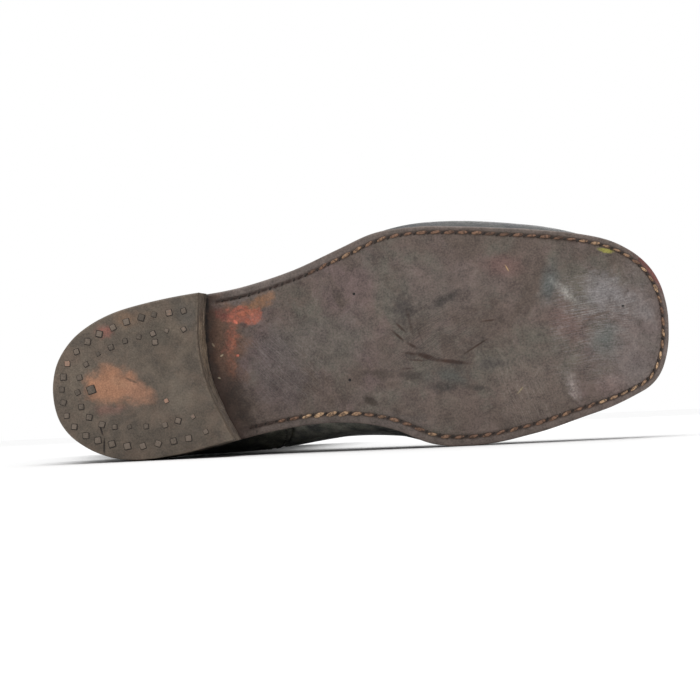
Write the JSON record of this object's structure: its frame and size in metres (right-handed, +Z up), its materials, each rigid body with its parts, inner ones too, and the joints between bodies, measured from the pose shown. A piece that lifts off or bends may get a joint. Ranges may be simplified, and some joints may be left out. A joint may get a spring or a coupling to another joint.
{
  "type": "cavalry boot",
  "caption": "Tall leather riding boot for the right foot, lying on its inner side, with a stitched welted sole and a stacked leather heel.",
  "frame": {"origin": "middle of the boot's box, on the surface that it lies on", "axes": "+Z up from the surface, +X from the heel towards the toe, +Y from the tread of the sole towards the collar of the shaft"},
  "size_m": [0.3176, 0.4012, 0.111],
  "materials": {
    "sole_leather": "worn, patchy, polished grey at the toe",
    "heel_leather": "worn, stacked, with nail heads",
    "edge_leather": "rubbed edge dressing",
    "upper_leather": "aged, dull, slightly green",
    "vamp_leather": "aged, low sheen, blue-black",
    "insole_leather": "bare, matt"
  },
  "bodies": {
    "root": {"outsole": "sole_leather", "top_piece": "heel_leather", "heel_lift_1": "heel_leather", "heel_lift_2": "heel_leather", "heel_lift_3": "heel_leather", "insole": "insole_leather", "upper": "upper_leather", "vamp": "vamp_leather", "counter": "upper_leather", "welt": "edge_leather", "heel_rand": "edge_leather"}
  },
  "joints": []
}
